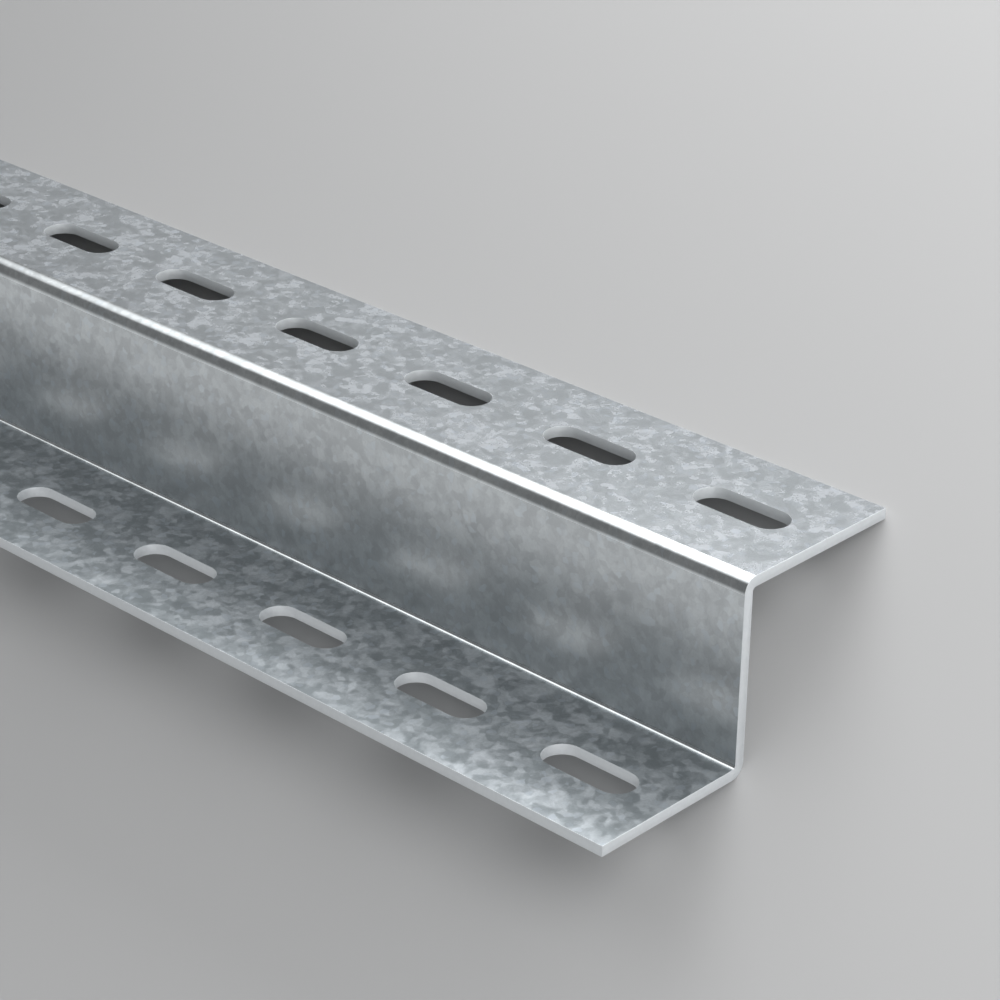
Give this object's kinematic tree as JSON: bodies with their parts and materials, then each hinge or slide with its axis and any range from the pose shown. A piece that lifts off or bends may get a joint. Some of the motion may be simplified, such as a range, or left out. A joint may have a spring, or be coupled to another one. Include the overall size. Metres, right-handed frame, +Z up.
{
  "type": "slotted z-section profile",
  "caption": "Length of galvanised steel strip folded into a Z section, with a row of round-ended slots in each flange.",
  "frame": {"origin": "on the floor, in the middle of the length and of the width that the leaning section covers", "axes": "+X along the length, +Z up from the floor, +Y from the lower flange's free edge towards the upper flange's; the section lies on the heel of its lower fold and the free edge of its upper flange, leaning back 43.7 degrees about X from upright"},
  "size_m": [2, 0.111, 0.0378],
  "materials": {
    "galvanised_steel": "spangled zinc coating, satin"
  },
  "bodies": {
    "root": {"z_section_profile": "galvanised_steel"}
  },
  "joints": []
}
